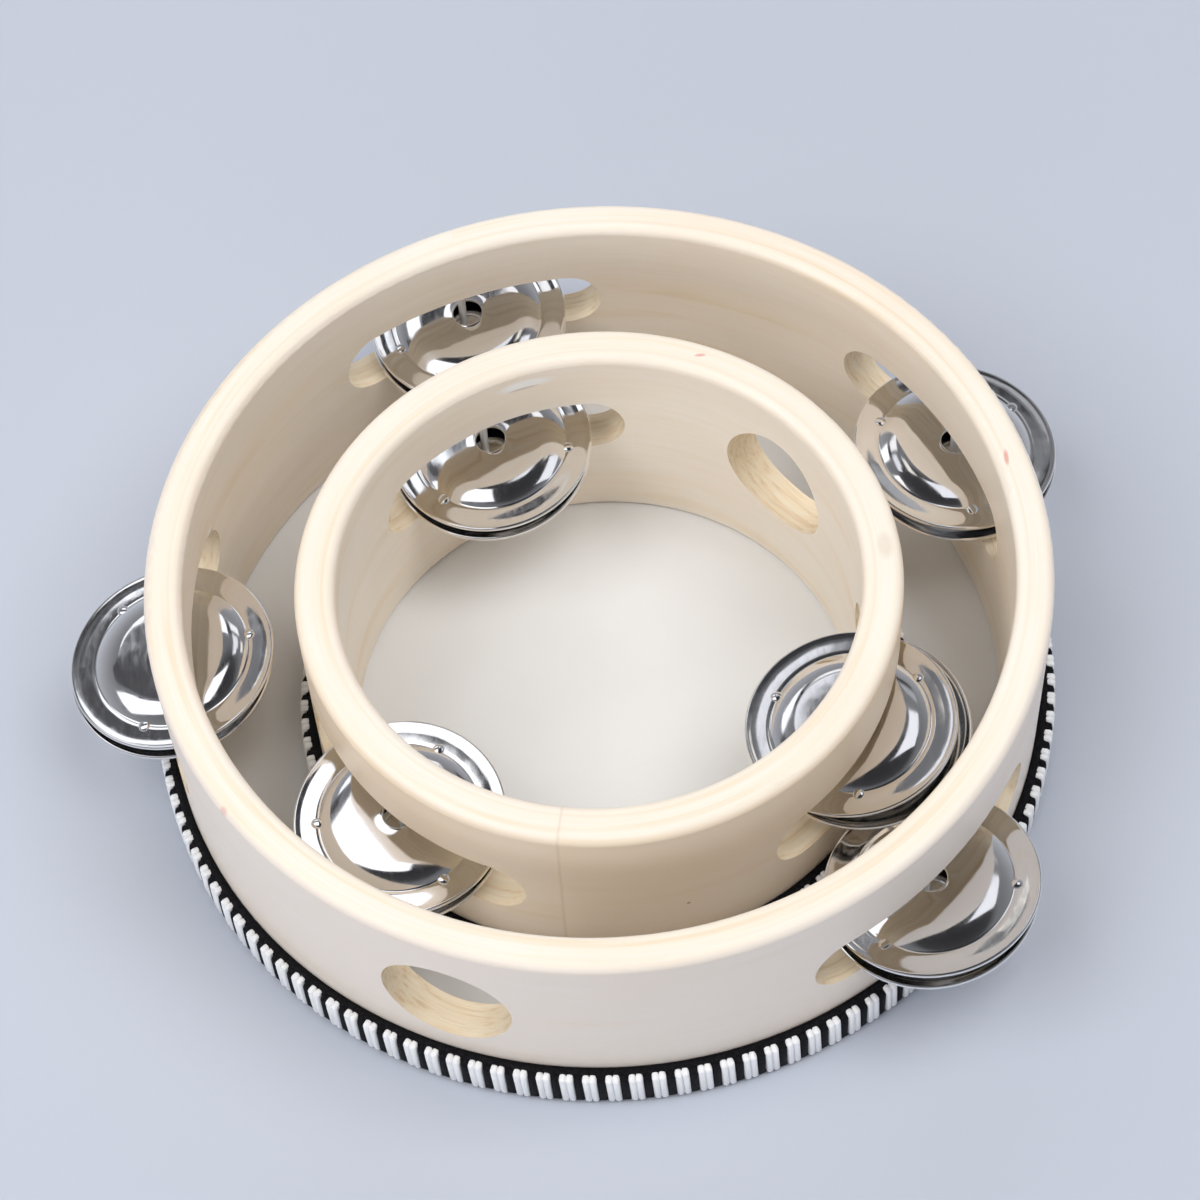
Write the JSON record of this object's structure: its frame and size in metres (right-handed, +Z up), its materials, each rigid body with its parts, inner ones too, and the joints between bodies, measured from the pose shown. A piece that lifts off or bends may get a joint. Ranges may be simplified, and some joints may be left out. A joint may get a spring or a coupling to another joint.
{
  "type": "wooden tambourine",
  "caption": "Wooden tambourine with a drum head and paired steel jingles in slots round its ring, with a smaller one like it standing inside, open sides up.",
  "frame": {"origin": "on the large ring's axis, at the underside of its drum head, where the part stands", "axes": "+Z up along the rings' axes, towards their open sides; -Y towards the front, where the small tambourine stands nearer the large ring's wall; +X to the right"},
  "size_m": [0.1752, 0.1656, 0.0455],
  "materials": {
    "bent_wood": "clear satin lacquer on pale bent plywood",
    "head_film": "smooth white film",
    "woven_band": "black woven band with raised edges",
    "nail_steel": "bright drawn wire",
    "jingle_steel": "bright plated sheet with fine scratches"
  },
  "bodies": {
    "large_tambourine": {"large_frame": "bent_wood", "large_head": "head_film", "large_trim": "woven_band", "large_nail_right": "nail_steel", "large_nail_back": "nail_steel", "large_nail_left": "nail_steel", "large_nail_front": "nail_steel"},
    "small_tambourine": {"small_frame": "bent_wood", "small_head": "head_film", "small_trim": "woven_band", "small_nail_back": "nail_steel", "small_nail_left": "nail_steel", "small_nail_right": "nail_steel"},
    "large_lower_jingle_right": {"large_lower_jingle_right": "jingle_steel"},
    "large_upper_jingle_right": {"large_upper_jingle_right": "jingle_steel"},
    "large_lower_jingle_back": {"large_lower_jingle_back": "jingle_steel"},
    "large_upper_jingle_back": {"large_upper_jingle_back": "jingle_steel"},
    "large_lower_jingle_left": {"large_lower_jingle_left": "jingle_steel"},
    "large_upper_jingle_left": {"large_upper_jingle_left": "jingle_steel"},
    "large_lower_jingle_front": {"large_lower_jingle_front": "jingle_steel"},
    "large_upper_jingle_front": {"large_upper_jingle_front": "jingle_steel"},
    "small_lower_jingle_back": {"small_lower_jingle_back": "jingle_steel"},
    "small_upper_jingle_back": {"small_upper_jingle_back": "jingle_steel"},
    "small_lower_jingle_left": {"small_lower_jingle_left": "jingle_steel"},
    "small_upper_jingle_left": {"small_upper_jingle_left": "jingle_steel"},
    "small_lower_jingle_right": {"small_lower_jingle_right": "jingle_steel"},
    "small_upper_jingle_right": {"small_upper_jingle_right": "jingle_steel"}
  },
  "joints": [
    {"name": "small_lift", "type": "slide", "parent": "large_tambourine", "child": "small_tambourine", "axis": [0, 0, 1], "range_m": [0, 0.06]},
    {"name": "large_lower_jingle_right_slide", "type": "slide", "parent": "large_tambourine", "child": "large_lower_jingle_right", "axis": [0, 0, 1], "range_m": [0, 0.002]},
    {"name": "large_upper_jingle_right_slide", "type": "slide", "parent": "large_lower_jingle_right", "child": "large_upper_jingle_right", "axis": [0, 0, 1], "range_m": [0, 0.002]},
    {"name": "large_lower_jingle_back_slide", "type": "slide", "parent": "large_tambourine", "child": "large_lower_jingle_back", "axis": [0, 0, 1], "range_m": [0, 0.0005]},
    {"name": "large_upper_jingle_back_slide", "type": "slide", "parent": "large_lower_jingle_back", "child": "large_upper_jingle_back", "axis": [0, 0, 1], "range_m": [0, 0.0005]},
    {"name": "large_lower_jingle_left_slide", "type": "slide", "parent": "large_tambourine", "child": "large_lower_jingle_left", "axis": [0, 0, 1], "range_m": [0, 0.002]},
    {"name": "large_upper_jingle_left_slide", "type": "slide", "parent": "large_lower_jingle_left", "child": "large_upper_jingle_left", "axis": [0, 0, 1], "range_m": [0, 0.002]},
    {"name": "large_lower_jingle_front_slide", "type": "slide", "parent": "large_tambourine", "child": "large_lower_jingle_front", "axis": [0, 0, 1], "range_m": [0, 0.0004]},
    {"name": "large_upper_jingle_front_slide", "type": "slide", "parent": "large_lower_jingle_front", "child": "large_upper_jingle_front", "axis": [0, 0, 1], "range_m": [0, 0.0004]},
    {"name": "small_lower_jingle_back_slide", "type": "slide", "parent": "small_tambourine", "child": "small_lower_jingle_back", "axis": [0, 0, 1], "range_m": [0, 0.002]},
    {"name": "small_upper_jingle_back_slide", "type": "slide", "parent": "small_lower_jingle_back", "child": "small_upper_jingle_back", "axis": [0, 0, 1], "range_m": [0, 0.002]},
    {"name": "small_lower_jingle_left_slide", "type": "slide", "parent": "small_tambourine", "child": "small_lower_jingle_left", "axis": [0, 0, 1], "range_m": [0, 0.002]},
    {"name": "small_upper_jingle_left_slide", "type": "slide", "parent": "small_lower_jingle_left", "child": "small_upper_jingle_left", "axis": [0, 0, 1], "range_m": [0, 0.002]},
    {"name": "small_lower_jingle_right_slide", "type": "slide", "parent": "small_tambourine", "child": "small_lower_jingle_right", "axis": [0, 0, 1], "range_m": [0, 0.0005]},
    {"name": "small_upper_jingle_right_slide", "type": "slide", "parent": "small_lower_jingle_right", "child": "small_upper_jingle_right", "axis": [0, 0, 1], "range_m": [0, 0.0005]}
  ]
}
